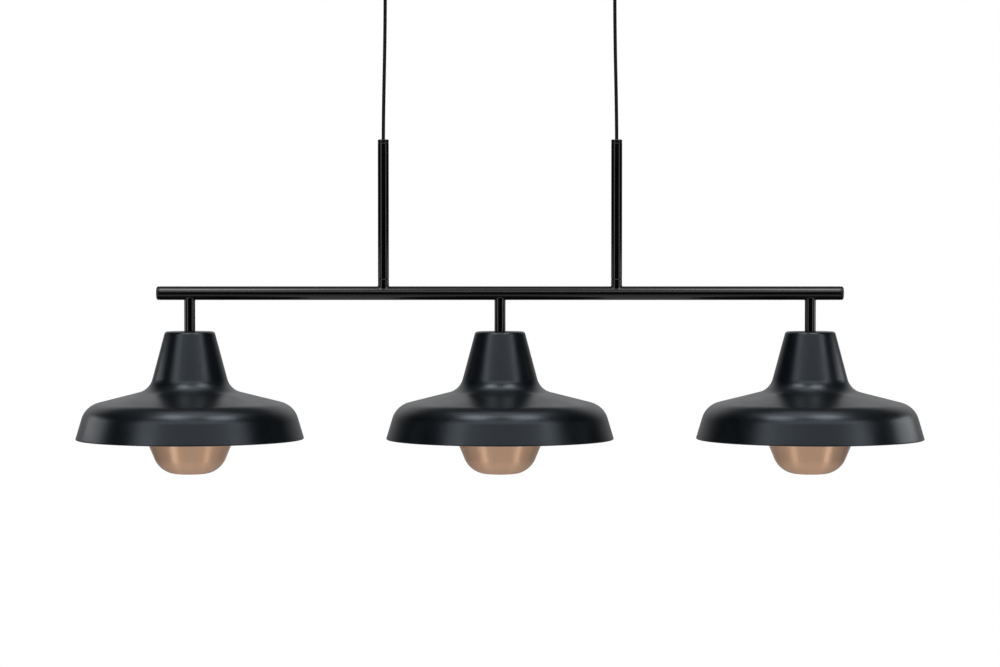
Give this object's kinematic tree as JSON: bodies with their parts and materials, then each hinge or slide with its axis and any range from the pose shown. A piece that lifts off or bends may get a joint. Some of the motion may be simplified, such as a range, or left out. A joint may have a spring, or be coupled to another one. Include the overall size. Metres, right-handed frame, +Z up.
{
  "type": "bar pendant lamp",
  "caption": "Black tube bar pendant hung on cords, with spun black shades over brushed copper bowls that hide the bulbs, and a linear ceiling canopy.",
  "frame": {"origin": "middle of the ceiling bracket's top face, on the ceiling", "axes": "+Z up into the ceiling, +X along the bar, -Y towards the viewer of the picture"},
  "size_m": [1.23, 0.33, 0.7418],
  "materials": {
    "shade_black": "satin black paint, white inside",
    "tube_black": "smooth black lacquer",
    "canopy_black": "satin black paint",
    "copper": "copper, brushed round the axis",
    "cord_black": "smooth black sheath",
    "holder_black": "moulded black",
    "zinc_steel": "zinc plated",
    "contact_brass": "bright brass",
    "bulb_base_metal": "pressed and bright",
    "opal_glass": "opal white",
    "white_plastic": "moulded white",
    "white_ceramic": "unglazed white",
    "wire_sheath": "smooth insulation"
  },
  "bodies": {
    "ceiling_fitting": {"ceiling_bracket": "zinc_steel", "canopy": "canopy_black", "canopy_screws": "tube_black", "cord_grip_left": "holder_black", "cord_grip_right": "holder_black", "grip_nuts": "zinc_steel", "grip_screws": "zinc_steel", "terminal_block": "white_plastic", "cord_tails": "cord_black", "supply_leads": "wire_sheath"},
    "lamp": {"bar": "tube_black", "threaded_nipples": "zinc_steel", "inner_wiring": "wire_sheath", "stem_feet": "zinc_steel", "tube_feet": "zinc_steel", "contact_blocks": "white_ceramic", "screw_shells": "contact_brass", "centre_contacts": "contact_brass", "cord_left": "cord_black", "tube_left": "tube_black", "tube_cap_left": "tube_black", "spigot_left": "tube_black", "bar_end_cap_left": "tube_black", "cord_right": "cord_black", "tube_right": "tube_black", "tube_cap_right": "tube_black", "spigot_right": "tube_black", "bar_end_cap_right": "tube_black", "stem_left": "tube_black", "shade_left": "shade_black", "holder_cap_left": "holder_black", "holder_skirt_left": "holder_black", "holder_ring_left": "holder_black", "bowl_carrier_left": "zinc_steel", "bowl_left": "copper", "bowl_screws_left": "zinc_steel", "stem_centre": "tube_black", "shade_centre": "shade_black", "holder_cap_centre": "holder_black", "holder_skirt_centre": "holder_black", "holder_ring_centre": "holder_black", "bowl_carrier_centre": "zinc_steel", "bowl_centre": "copper", "bowl_screws_centre": "zinc_steel", "stem_right": "tube_black", "shade_right": "shade_black", "holder_cap_right": "holder_black", "holder_skirt_right": "holder_black", "holder_ring_right": "holder_black", "bowl_carrier_right": "zinc_steel", "bowl_right": "copper", "bowl_screws_right": "zinc_steel"},
    "bulb_left": {"bulb_glass_left": "opal_glass", "bulb_base_left": "bulb_base_metal"},
    "bulb_centre": {"bulb_glass_centre": "opal_glass", "bulb_base_centre": "bulb_base_metal"},
    "bulb_right": {"bulb_glass_right": "opal_glass", "bulb_base_right": "bulb_base_metal"}
  },
  "joints": [
    {"name": "swing", "type": "hinge", "parent": "ceiling_fitting", "child": "lamp", "pos_m": [0, 0, -0.042], "axis": [1, 0, 0], "range_deg": [-15, 15]},
    {"name": "bulb_left_unscrew", "type": "slide", "parent": "lamp", "child": "bulb_left", "axis": [0, 0, -1], "range_m": [0, 0.02]},
    {"name": "bulb_centre_unscrew", "type": "slide", "parent": "lamp", "child": "bulb_centre", "axis": [0, 0, -1], "range_m": [0, 0.02]},
    {"name": "bulb_right_unscrew", "type": "slide", "parent": "lamp", "child": "bulb_right", "axis": [0, 0, -1], "range_m": [0, 0.02]}
  ]
}
